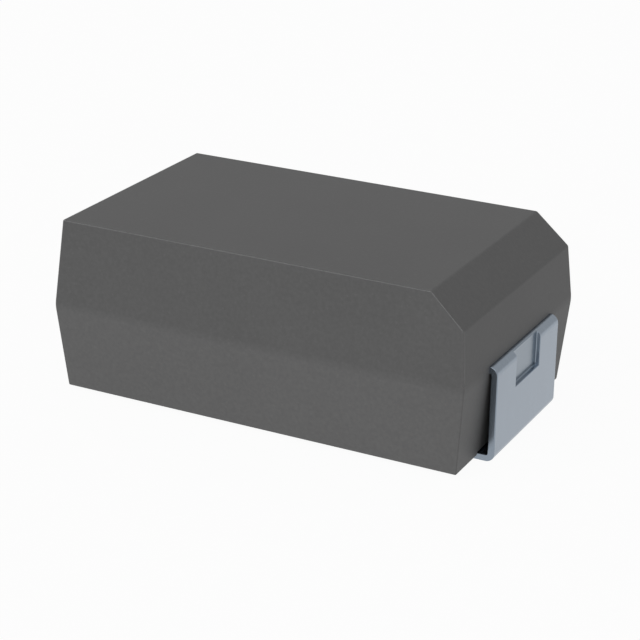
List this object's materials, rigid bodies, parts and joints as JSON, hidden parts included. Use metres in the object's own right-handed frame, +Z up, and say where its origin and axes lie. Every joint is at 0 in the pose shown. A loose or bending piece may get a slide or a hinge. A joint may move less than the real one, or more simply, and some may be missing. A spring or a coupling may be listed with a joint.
{
  "type": "moulded tantalum chip capacitor",
  "caption": "Surface-mount tantalum capacitor: drafted rectangular epoxy case with a bevelled anode end and flat tinned leads folded under both ends.",
  "frame": {"origin": "middle of the footprint on the board: halfway between the outer faces of the two legs, on the centre plane, at the underside of the feet", "axes": "+X towards the anode end, which has the polarity bevel, along the length; +Y across the width; +Z up from the board"},
  "size_m": [0.0074, 0.0043, 0.0029],
  "materials": {
    "moulded_epoxy": "dark grey glass-filled epoxy, as moulded, matte with a very fine grain",
    "tinned_strip": "matte electroplated tin on nickel-iron strip, satin bluish grey",
    "sintered_tantalum": "sintered powder, dark grey, porous and matte",
    "tantalum_wire": "drawn wire, satin bluish grey",
    "fluoropolymer": "punched white film, smooth and matte",
    "manganese_dioxide": "pyrolysed crust, black, matte and slightly rough",
    "graphite": "dipped carbon paint, dark grey with a dull sheen",
    "silver_paint": "dipped silver-filled paint, pale grey and satin",
    "silver_epoxy": "cured silver-filled adhesive, grey and matte"
  },
  "bodies": {
    "root": {"moulded_case": "moulded_epoxy", "anode_lead": "tinned_strip", "cathode_lead": "tinned_strip", "tantalum_pellet": "sintered_tantalum", "tantalum_wire": "tantalum_wire", "wire_washer": "fluoropolymer", "manganese_dioxide_crust": "manganese_dioxide", "graphite_coat": "graphite", "silver_coat": "silver_paint", "silver_adhesive": "silver_epoxy"}
  },
  "joints": []
}
